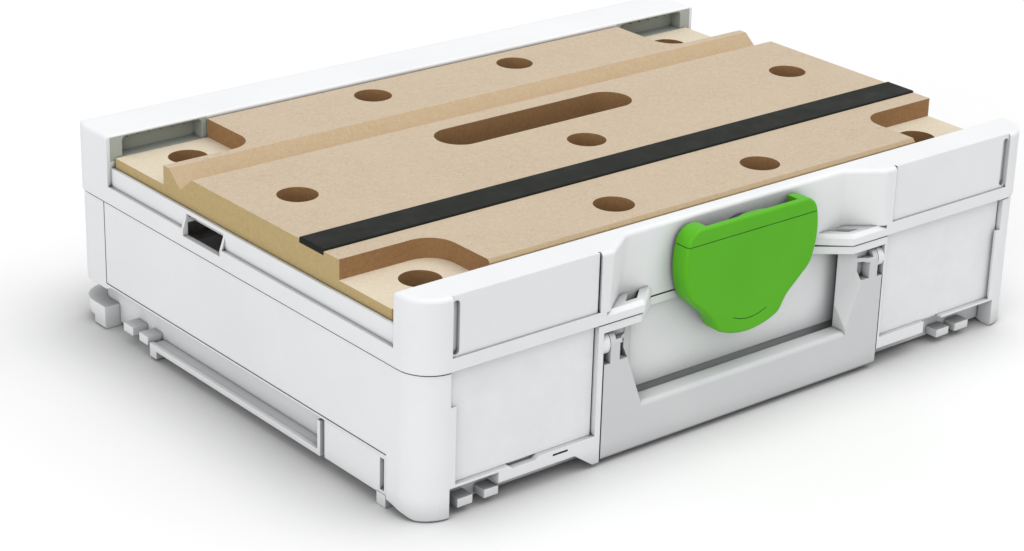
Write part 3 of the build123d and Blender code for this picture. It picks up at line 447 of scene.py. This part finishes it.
@dataclass(frozen=True)
class FibreBoard:
    """Raw fibre board: sanded top, cream milled floors, pressed outer edges, dark cut walls.

    Attributes:
        name: Name of the material.
        top: Colour of the sanded top, and top_fibre of the fibres in it.
        floor: Colour of the lowered corners, and floor_fibre of their fibres.
        slope: Colour of the groove's sides, and slope_fibre of their fibres.
        pressed: Colour of the outer edges, and pressed_dark of their fibres.
        cut: Colour of the bores and steps, and cut_dark of their fibres.
        gap_painted_shade: Painted shade colour down in narrow gaps.
        half_width: Half the board's width.
        front: Place of its front edge.
        rear: Place of its rear edge.
        top_level: Height of its top.
        near_edge: How close to an outer edge a face counts as lying on it.
        near_top: How far under the top a level face still counts as lying on it.
        flat_tilt: Upward part of the normal above which a face is level.
        slope_tilt: Upward part of the normal above which it is a slope.
        fibre: Fibres per metre.
        fibre_levels: Levels of their noise from the board's own tone to the fibres'.
        speck: Specks per metre.
        speck_weight: Weight of the fibres' tone between the specks and on them.
        cloud: Clouds of tone per metre.
        cloud_weight: Weight of the fibres' tone between the clouds and in them.
        relief: Height of the fibres and of the specks.
        edge: Radius of the softened edges.
        gap: Reach of the painted shade in narrow gaps.
        gap_levels: Share of open directions at which a gap is full dark, and at which it ends.
        gloss: Roughness between the fibres and on them.
    """

    name: str = "fibre_board"
    top: Colour = srgb(207, 190, 167)
    top_fibre: Colour = srgb(178, 157, 130)
    floor: Colour = srgb(228, 216, 194)
    floor_fibre: Colour = srgb(206, 190, 164)
    slope: Colour = srgb(198, 175, 143)
    slope_fibre: Colour = srgb(174, 150, 116)
    pressed: Colour = srgb(194, 172, 124)
    pressed_dark: Colour = srgb(172, 147, 100)
    cut: Colour = srgb(156, 120, 82)
    cut_dark: Colour = srgb(124, 90, 56)
    gap_painted_shade: Colour = srgb(70, 52, 36)
    half_width: float = 193.3 * MM
    front: float = -120.5 * MM
    rear: float = 110.1 * MM
    top_level: float = 105.8 * MM
    near_edge: float = 0.4 * MM
    near_top: float = 0.3 * MM
    flat_tilt: float = 0.95
    slope_tilt: float = 0.3
    fibre: float = 420.0
    fibre_levels: Span = (0.35, 0.75)
    speck: float = 1500.0
    speck_weight: Span = (0.35, 1.0)
    cloud: float = 25.0
    cloud_weight: Span = (0.75, 1.2)
    relief: Span = (0.05 * MM, 0.03 * MM)
    edge: float = 0.4 * MM
    gap: float = 2.5 * MM
    gap_levels: Span = (0.08, 0.42)
    gloss: Span = (0.66, 0.84)

    def make(self) -> bpy.types.Material:
        """Build the material.

        Returns:
            The new material.
        """
        graph = Graph(self.name)
        graph.surface("Specular IOR Level", 0.2)
        fibre = graph.noise(self.fibre, detail=5.0, roughness=0.72, distortion=1.6)
        speck = graph.noise(self.speck, detail=3.0, roughness=0.6)
        colour = self.face_colour(graph, fibre, speck)
        # Painted shade: the board's colour turns dark brown down in narrow gaps, such as between the
        # board and the lid's rim.
        gap = graph.gap_mask(self.gap, self.gap_levels)
        graph.surface("Base Color", graph.blend(gap, colour, self.gap_painted_shade))
        graph.surface("Roughness", graph.remap(fibre, MIDDLE, self.gloss))
        fibre_depth, speck_depth = self.relief
        fibres = graph.relief(fibre, fibre_depth, graph.round_edges(self.edge))
        graph.surface("Normal", graph.relief(speck, speck_depth, fibres))
        return graph.material

    def face_colour(self, graph: Graph, fibre: Socket, speck: Socket) -> Socket:
        """Colour each face by the way it was made.

        Args:
            graph: The material's nodes.
            fibre: Pattern of the fibres.
            speck: Pattern of the specks.

        Returns:
            The colour.
        """
        fibres = graph.remap(fibre, self.fibre_levels)
        fine = graph.math("MULTIPLY", fibres, graph.remap(speck, MIDDLE, self.speck_weight))
        cloud = graph.noise(self.cloud, detail=3.0, roughness=0.6)
        weight = graph.math("MULTIPLY", fine, graph.remap(cloud, MIDDLE, self.cloud_weight))
        top = graph.blend(weight, self.top, self.top_fibre)
        floor = graph.blend(weight, self.floor, self.floor_fibre)
        slope = graph.blend(weight, self.slope, self.slope_fibre)
        side = graph.blend(fine, self.pressed, self.pressed_dark)
        wall = graph.blend(fine, self.cut, self.cut_dark)

        tilt = graph.math("ABSOLUTE", graph.axis("Normal", "Z"))
        height = graph.axis("Object", "Z")
        high = graph.math("GREATER_THAN", height, self.top_level - self.near_top)
        flat = graph.blend(high, floor, top)
        upright = graph.blend(self.on_outside(graph), wall, side)
        tilted = graph.blend(graph.math("GREATER_THAN", tilt, self.slope_tilt), upright, slope)
        return graph.blend(graph.math("GREATER_THAN", tilt, self.flat_tilt), tilted, flat)

    def on_outside(self, graph: Graph) -> Socket:
        """Find the board's four outer edges.

        Args:
            graph: The material's nodes.

        Returns:
            Mask that is 1 on them.
        """
        across = graph.math("ABSOLUTE", graph.axis("Object", "X"))
        along = graph.axis("Object", "Y")
        at_sides = graph.math("GREATER_THAN", across, self.half_width - self.near_edge)
        at_front = graph.math("LESS_THAN", along, self.front + self.near_edge)
        at_rear = graph.math("GREATER_THAN", along, self.rear - self.near_edge)
        return graph.math("MAXIMUM", at_sides, graph.math("MAXIMUM", at_front, at_rear))


@dataclass(frozen=True)
class MattRubber:
    """Black grip strip: fine matt rubber with pale dust in its grain.

    Attributes:
        name: Name of the material.
        colour: Colour of the rubber.
        dust: Colour where dust lies on it.
        lie: Patches of dust per metre.
        lie_levels: Levels of their noise from clean rubber to the most dust.
        lie_weight: Weight of the dust's colour at those levels.
        grain: Grain features per metre.
        depth: Height of the grain.
        edge: Radius of the softened edges.
        gloss: Roughness between the patches and on them.
    """

    name: str = "matt_rubber"
    colour: Colour = srgb(17, 20, 15)
    dust: Colour = srgb(30, 33, 27)
    lie: float = 60.0
    lie_levels: Span = (0.5, 0.8)
    lie_weight: Span = (0.0, 0.7)
    grain: float = 2200.0
    depth: float = 0.04 * MM
    edge: float = 0.5 * MM
    gloss: Span = (0.55, 0.75)

    def make(self) -> bpy.types.Material:
        """Build the material.

        Returns:
            The new material.
        """
        graph = Graph(self.name)
        graph.surface("Specular IOR Level", 0.15)
        lie = graph.noise(self.lie, detail=5.0, roughness=0.7)
        dusty = graph.remap(lie, self.lie_levels, self.lie_weight)
        graph.surface("Base Color", graph.blend(dusty, self.colour, self.dust))
        graph.surface("Roughness", graph.remap(lie, MIDDLE, self.gloss))
        grain = graph.noise(self.grain, detail=2.0)
        graph.surface("Normal", graph.relief(grain, self.depth, graph.round_edges(self.edge)))
        return graph.material


@dataclass(frozen=True)
class PlatedSteel:
    """Bright steel with a rolled or turned grain.

    Attributes:
        name: Name of the material.
        colour: Colour of the bright metal.
        roughness: Its gloss, from 0 to 1.
        stretch: Scale of the grain on each axis.
        lines: Lines of the grain per metre.
        line_tone: Share of the colour that is left in the lines.
        gloss_swing: Change of the roughness between the lines and in them.
        depth: Depth of the lines.
        edge: Radius of the softened edges.
    """

    name: str
    colour: Colour
    roughness: float = 0.32
    stretch: Point = (1.0, 1.0, 8.0)
    lines: float = 600.0
    line_tone: float = 0.82
    gloss_swing: Span = (-0.06, 0.1)
    depth: float = 0.01 * MM
    edge: float = 0.3 * MM

    def make(self) -> bpy.types.Material:
        """Build the material.

        Returns:
            The new material.
        """
        graph = Graph(self.name)
        graph.surface("Metallic", 1.0)
        lines = graph.noise(self.lines, detail=4.0, stretch=self.stretch)
        darker = scaled(self.colour, self.line_tone)
        graph.surface("Base Color", graph.blend(graph.remap(lines, MIDDLE), self.colour, darker))
        least, most = self.gloss_swing
        gloss = graph.remap(lines, MIDDLE, (self.roughness + least, self.roughness + most))
        graph.surface("Roughness", gloss)
        graph.surface("Normal", graph.relief(lines, self.depth, graph.round_edges(self.edge)))
        return graph.material


@dataclass(frozen=True)
class PaperCard:
    """Smooth blank card with a faint paper cloudiness.

    Attributes:
        name: Name of the material.
        colour: Colour of the card.
        shade: Slightly deeper tone of its clouds.
        cloud: Clouds per metre.
        fibre: Paper fibres per metre.
        depth: Height of the fibres.
        gloss: Roughness between the clouds and in them.
    """

    name: str = "paper_card"
    colour: Colour = srgb(240, 241, 242)
    shade: Colour = srgb(232, 233, 235)
    cloud: float = 45.0
    fibre: float = 900.0
    depth: float = 0.012 * MM
    gloss: Span = (0.4, 0.5)

    def make(self) -> bpy.types.Material:
        """Build the material.

        Returns:
            The new material.
        """
        graph = Graph(self.name)
        graph.surface("Specular IOR Level", 0.35)
        cloud = graph.noise(self.cloud, detail=5.0, roughness=0.65)
        graph.surface("Base Color", graph.blend(graph.remap(cloud, MIDDLE), self.colour, self.shade))
        graph.surface("Roughness", graph.remap(cloud, MIDDLE, self.gloss))
        fibre = graph.noise(self.fibre, detail=3.0)
        graph.surface("Normal", graph.relief(fibre, self.depth))
        return graph.material


WHITE = MouldedPlastic(
    name="white_moulding",
    colour=srgb(238, 239, 240),
    shade=srgb(233, 234, 236),
    rubbed=srgb(244, 244, 244),
)
# Painted shade: the handle is the same white plastic as the case, coloured darker for the shade that
# the latch and recess throw on it.
HANDLE_WHITE_SHADED = MouldedPlastic(
    name="handle_moulding",
    colour=srgb(212, 213, 214),
    shade=srgb(206, 207, 209),
    rubbed=srgb(222, 222, 222),
)
GREEN = MouldedPlastic(
    name="green_moulding",
    colour=srgb(88, 181, 20),
    shade=srgb(83, 173, 18),
    rubbed=srgb(112, 192, 56),
    roughness=0.46,
    specular=0.25,
    grain=1900.0,
    depth=0.02 * MM,
    edge=0.5 * MM,
)
# Painted shade: the corner sockets are coloured grey-green for white plastic in the shade of the
# lid's corner pockets.
SOCKET_PAINTED_SHADE = MouldedPlastic(
    name="socket_moulding",
    colour=srgb(172, 178, 170),
    shade=srgb(162, 168, 160),
    rubbed=srgb(190, 195, 188),
    roughness=0.48,
    hollow_tone=0.62,
    gap_tone=0.3,
)
LATCH_GREY = MouldedPlastic(
    name="latch_core_moulding",
    colour=srgb(96, 97, 99),
    shade=srgb(84, 85, 88),
    rubbed=srgb(120, 121, 123),
)
CARD = PaperCard()
BOARD = FibreBoard()
STRIP = MattRubber()
ZINC = PlatedSteel("zinc_plate", srgb(205, 205, 200))
PINS = PlatedSteel("drawn_steel", srgb(190, 191, 193), stretch=(8.0, 1.0, 1.0))

Finish = MouldedPlastic | FibreBoard | MattRubber | PlatedSteel | PaperCard


@dataclass
class FinishStore:
    """Finishes already built, so that each is made once."""

    made: dict[str, bpy.types.Material] = field(default_factory=dict)

    def get(self, recipe: Finish) -> bpy.types.Material:
        """Give the material of a finish, built on first use.

        Args:
            recipe: The finish.

        Returns:
            Its material.
        """
        if recipe.name not in self.made:
            self.made[recipe.name] = recipe.make()
        return self.made[recipe.name]


@dataclass
class CaseGroup:
    """Pieces of the case that move with one body.

    Attributes:
        nodes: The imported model's objects by name.
        store: Finishes shared by all the groups.
        body: Body that the group's pieces ride on.
        edge: Radius of the broken edges.
        crease: Angle between faces, in degrees, up to which they are shaded as one.
        broken_from: Angle between faces, in degrees, from which their edge is broken.
        weld: Distance below which two points are one.
        flat_within: Angle, in degrees, below which two faces are one flat face.
    """

    nodes: dict[str, bpy.types.Object]
    store: FinishStore
    body: Body = Body.BASE
    edge: float = 0.22 * MM
    crease: float = 18.0
    broken_from: float = 24.0
    weld: float = 0.002 * MM
    flat_within: float = 0.3

    def dress(self, recipe: Finish, *names: str) -> None:
        """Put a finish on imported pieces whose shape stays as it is.

        Args:
            recipe: The finish.
            names: Names of the pieces.
        """
        material = self.store.get(recipe)
        for name in names:
            node = self.nodes[name]
            if not node.material_slots:
                node.data.materials.append(material)
            for place in node.material_slots:
                place.material = material
            LOG.info("dressed %s in %s", name, recipe.name)

    def soften(self, name: str, recipe: Finish, slot: Slot, edge: float | None = None) -> None:
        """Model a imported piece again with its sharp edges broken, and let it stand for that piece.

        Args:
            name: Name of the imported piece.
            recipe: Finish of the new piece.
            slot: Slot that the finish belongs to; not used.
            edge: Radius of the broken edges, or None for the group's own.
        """
        bpy.ops.object.select_all(action="DESELECT")
        source = self.nodes[name]
        piece = source.copy()
        piece.data = source.data.copy()
        bpy.context.scene.collection.objects.link(piece)
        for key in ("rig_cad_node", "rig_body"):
            if key in piece:
                del piece[key]
        piece.name = name + "_soft"
        piece.data.name = piece.name
        bpy.context.view_layer.objects.active = piece
        piece.select_set(True)
        self.clean_mesh()
        self.break_edges(piece, self.edge if edge is None else edge)
        piece.data.materials.clear()
        piece.data.materials.append(self.store.get(recipe))
        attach(piece, self.body.value)
        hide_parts(name)
        LOG.info("modelled %s: %d faces, %s", piece.name, len(piece.data.polygons), recipe.name)

    def clean_mesh(self) -> None:
        """Join the active mesh's loose triangles and dissolve the lines across its flat faces."""
        bpy.ops.object.mode_set(mode="EDIT")
        bpy.ops.mesh.select_all(action="SELECT")
        bpy.ops.mesh.remove_doubles(threshold=self.weld)
        bpy.ops.mesh.dissolve_limited(angle_limit=math.radians(self.flat_within))
        bpy.ops.object.mode_set(mode="OBJECT")

    def break_edges(self, piece: bpy.types.Object, edge: float) -> None:
        """Round a piece's sharp edges and shade it smooth between them.

        Args:
            piece: The active object.
            edge: Radius of the rounding.
        """
        bevel = piece.modifiers.new("broken_edges", "BEVEL")
        bevel.width = edge
        bevel.segments = 2
        bevel.limit_method = "ANGLE"
        bevel.angle_limit = math.radians(self.broken_from)
        bevel.use_clamp_overlap = True
        bevel.harden_normals = False
        bpy.ops.object.modifier_apply(modifier=bevel.name)
        bpy.ops.object.shade_smooth_by_angle(angle=math.radians(self.crease))
        level = piece.modifiers.new("level_faces", "WEIGHTED_NORMAL")
        level.mode = "FACE_AREA"
        level.weight = 50
        level.keep_sharp = True
        bpy.ops.object.modifier_apply(modifier=level.name)


@dataclass
class BaseCase(CaseGroup):
    """Lower case with its coupling rails, label cards and pins."""

    def build(self) -> None:
        """Model and dress the lower case."""
        self.soften("base_shell", WHITE, Slot.WHITE_PLASTIC)
        for side in ("left", "right"):
            self.dress(CARD, "label_card_" + side)
            self.dress(PINS, "hinge_pin_" + side, "handle_pin_" + side)


@dataclass
class BenchLid(CaseGroup):
    """Lid with its ridges, corner sockets, work board and grip strip.

    Attributes:
        board_edge: Radius of the work board's broken edges.
        socket_edge: Radius of the sockets' broken edges.
    """

    body: Body = Body.LID
    board_edge: float = 0.5 * MM
    socket_edge: float = 0.25 * MM

    def build(self) -> None:
        """Model and dress the lid."""
        self.soften("lid_shell", WHITE, Slot.WHITE_PLASTIC)
        self.soften("work_board", BOARD, Slot.BOARD, self.board_edge)
        self.soften("grip_strip", STRIP, Slot.STRIP)
        for end in ("front", "rear"):
            for side in ("left", "right"):
                # The sockets' grey-green is painted shade.
                self.soften(f"socket_{end}_{side}", SOCKET_PAINTED_SHADE, Slot.SOCKET, self.socket_edge)
        self.dress(ZINC, "board_screws", "board_washers")


@dataclass
class TurnLatch(CaseGroup):
    """Green turning latch with its grey core and its fastening.

    Attributes:
        plate_edge: Radius of the back plate's broken edges.
    """

    body: Body = Body.LATCH
    plate_edge: float = 0.3 * MM

    def build(self) -> None:
        """Model and dress the latch."""
        self.dress(GREEN, "latch_cover")
        self.soften("latch_back_plate", LATCH_GREY, Slot.LATCH_GREY, self.plate_edge)
        self.dress(LATCH_GREY, "latch_hub")
        self.dress(ZINC, "latch_spring_washer", "latch_washer", "latch_screw")


@dataclass
class CarryHandle(CaseGroup):
    """Fold-down handle under the latch."""

    body: Body = Body.HANDLE
    edge: float = 0.8 * MM

    def build(self) -> None:
        """Model and dress the handle."""
        # The handle's darker white is painted shade.
        self.soften("front_handle", HANDLE_WHITE_SHADED, Slot.WHITE_PLASTIC)


@dataclass(frozen=True)
class Lamp:
    """Soft sun lamp.

    Attributes:
        name: Name of the lamp.
        travel: Direction in which its light goes.
        strength: Its power.
        spread: Angle of its disc in degrees, which softens its shadow.
    """

    name: str
    travel: Point
    strength: float
    spread: float

    def hang(self) -> None:
        """Add the lamp to the scene."""
        bpy.ops.object.light_add(type="SUN", location=(0.0, 0.0, 2.0))
        lamp = bpy.context.active_object
        lamp.name = self.name
        lamp.data.energy = self.strength
        lamp.data.angle = math.radians(self.spread)
        lamp.rotation_mode = "QUATERNION"
        lamp.rotation_quaternion = Vector(self.travel).to_track_quat("-Z", "Y")


@dataclass
class Studio:
    """Plain pale floor, soft light and the camera.

    Attributes:
        camera_place: Where the camera stands.
        yaw: Turn of the camera from +Y towards +X, in degrees.
        pitch: How far it looks down, in degrees.
        roll: Its lean, in degrees.
        lens: Focal length in millimetres.
        sensor: Width of the picture behind the lens in millimetres.
        view_range: Nearest and farthest distance that the camera shows.
        floor_half: Half the side of the floor.
        floor_seen: Colour of the floor to the camera and in reflections.
        floor_cast: Colour of the floor to the light that it throws back on the case.
        floor_deep: Colour of the floor in the close shadow under the case.
        floor_cloud: Clouds of tone in the floor per metre.
        floor_tone: Share of the floor's colour that is left in them.
        contact_reach: How far from the case that close shadow reaches.
        contact_levels: Share of open directions at which it is full, and at which it ends.
        sky: Strength of the surroundings as light; they look white at any strength.
        lamps: The two soft lamps.
    """

    camera_place: Point = (-0.7987, -0.9286, 0.5389)
    yaw: float = 39.78
    pitch: float = 22.88
    roll: float = 1.66
    lens: float = 89.18
    sensor: float = 36.0
    view_range: Span = (0.05, 60.0)
    floor_half: float = 12.0
    floor_seen: Colour = (0.93, 0.93, 0.93)
    floor_cast: Colour = (0.58, 0.58, 0.58)
    floor_deep: Colour = (0.5, 0.5, 0.5)
    floor_cloud: float = 3.0
    floor_tone: float = 0.99
    contact_reach: float = 60.0 * MM
    contact_levels: Span = (0.2, 0.95)
    sky: float = 0.62
    lamps: tuple[Lamp, ...] = (
        Lamp("side_lamp", (0.85, 0.42, -0.30), 1.25, 60.0),
        Lamp("top_lamp", (-0.45, 0.25, -1.0), 1.25, 60.0),
    )

    def build(self) -> None:
        """Make the floor, the world, the lamps and the camera."""
        self.make_floor()
        self.make_world()
        for lamp in self.lamps:
            lamp.hang()
        self.make_camera()

    def make_floor(self) -> None:
        """Lay a pale floor under the case, darker to the light it reflects than to the eye."""
        bpy.ops.mesh.primitive_plane_add(size=2 * self.floor_half, location=(0.0, 0.0, 0.0))
        floor = bpy.context.active_object
        floor.name = "floor"
        graph = Graph("pale_floor")
        graph.surface("Specular IOR Level", 0.1)
        graph.surface("Roughness", 0.8)
        cloud = graph.remap(graph.noise(self.floor_cloud), MIDDLE)
        pale = graph.blend(cloud, self.floor_seen, scaled(self.floor_seen, self.floor_tone))
        close = graph.gap_mask(self.contact_reach, self.contact_levels)
        seen = graph.blend(close, pale, self.floor_deep)
        graph.surface("Base Color", graph.blend(self.seen_rays(graph.tree), self.floor_cast, seen))
        floor.data.materials.append(graph.material)

    @staticmethod
    def seen_rays(tree: bpy.types.NodeTree) -> Socket:
        """Tell the rays that show a thing from those that light by it.

        Args:
            tree: Nodes that the test is added to.

        Returns:
            1 for camera, glossy and transmission rays and 0 for the others.
        """
        path = tree.nodes.new("ShaderNodeLightPath")
        total = path.outputs["Is Camera Ray"]
        for name in ("Is Glossy Ray", "Is Transmission Ray"):
            either = tree.nodes.new("ShaderNodeMath")
            either.operation = "ADD"
            either.use_clamp = True
            tree.links.new(total, either.inputs[0])
            tree.links.new(path.outputs[name], either.inputs[1])
            total = either.outputs["Value"]
        return total

    def make_world(self) -> None:
        """Surround the case evenly, in what looks white to the camera and in reflections."""
        world = bpy.data.worlds.new("studio")
        bpy.context.scene.world = world
        world.use_nodes = True
        tree = world.node_tree
        back = tree.nodes["Background"]
        back.inputs["Color"].default_value = (1.0, 1.0, 1.0, 1.0)
        level = tree.nodes.new("ShaderNodeMapRange")
        level.inputs["To Min"].default_value = self.sky
        level.inputs["To Max"].default_value = 1.0
        tree.links.new(self.seen_rays(tree), level.inputs["Value"])
        tree.links.new(level.outputs["Result"], back.inputs["Strength"])

    def make_camera(self) -> None:
        """Stand the camera where the photograph was taken."""
        data = bpy.data.cameras.new("camera")
        camera = bpy.data.objects.new("camera", data)
        bpy.context.scene.collection.objects.link(camera)
        bpy.context.scene.camera = camera
        data.sensor_fit = "HORIZONTAL"
        data.sensor_width = self.sensor
        data.lens = self.lens
        data.clip_start, data.clip_end = self.view_range
        yaw, pitch, roll = (math.radians(angle) for angle in (self.yaw, self.pitch, self.roll))
        level = math.cos(pitch)
        ahead = Vector((math.sin(yaw) * level, math.cos(yaw) * level, -math.sin(pitch)))
        right = Vector((math.cos(yaw), -math.sin(yaw), 0.0))
        up = right.cross(ahead)
        side = right * math.cos(roll) + up * math.sin(roll)
        top = up * math.cos(roll) - right * math.sin(roll)
        turn = Matrix((side, top, -ahead)).transposed()
        camera.matrix_world = Matrix.Translation(self.camera_place) @ turn.to_4x4()


def main() -> None:
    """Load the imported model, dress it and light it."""
    logging.basicConfig(level=logging.INFO, format="%(name)s: %(message)s")
    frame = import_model()
    bpy.context.scene.view_settings.view_transform = "Standard"

    store = FinishStore()
    for kind in (BaseCase, BenchLid, TurnLatch, CarryHandle):
        kind(frame["nodes"], store).build()
        LOG.info("finished %s", kind.__name__)

    Studio().build()


if __name__ == "__main__":
    main()
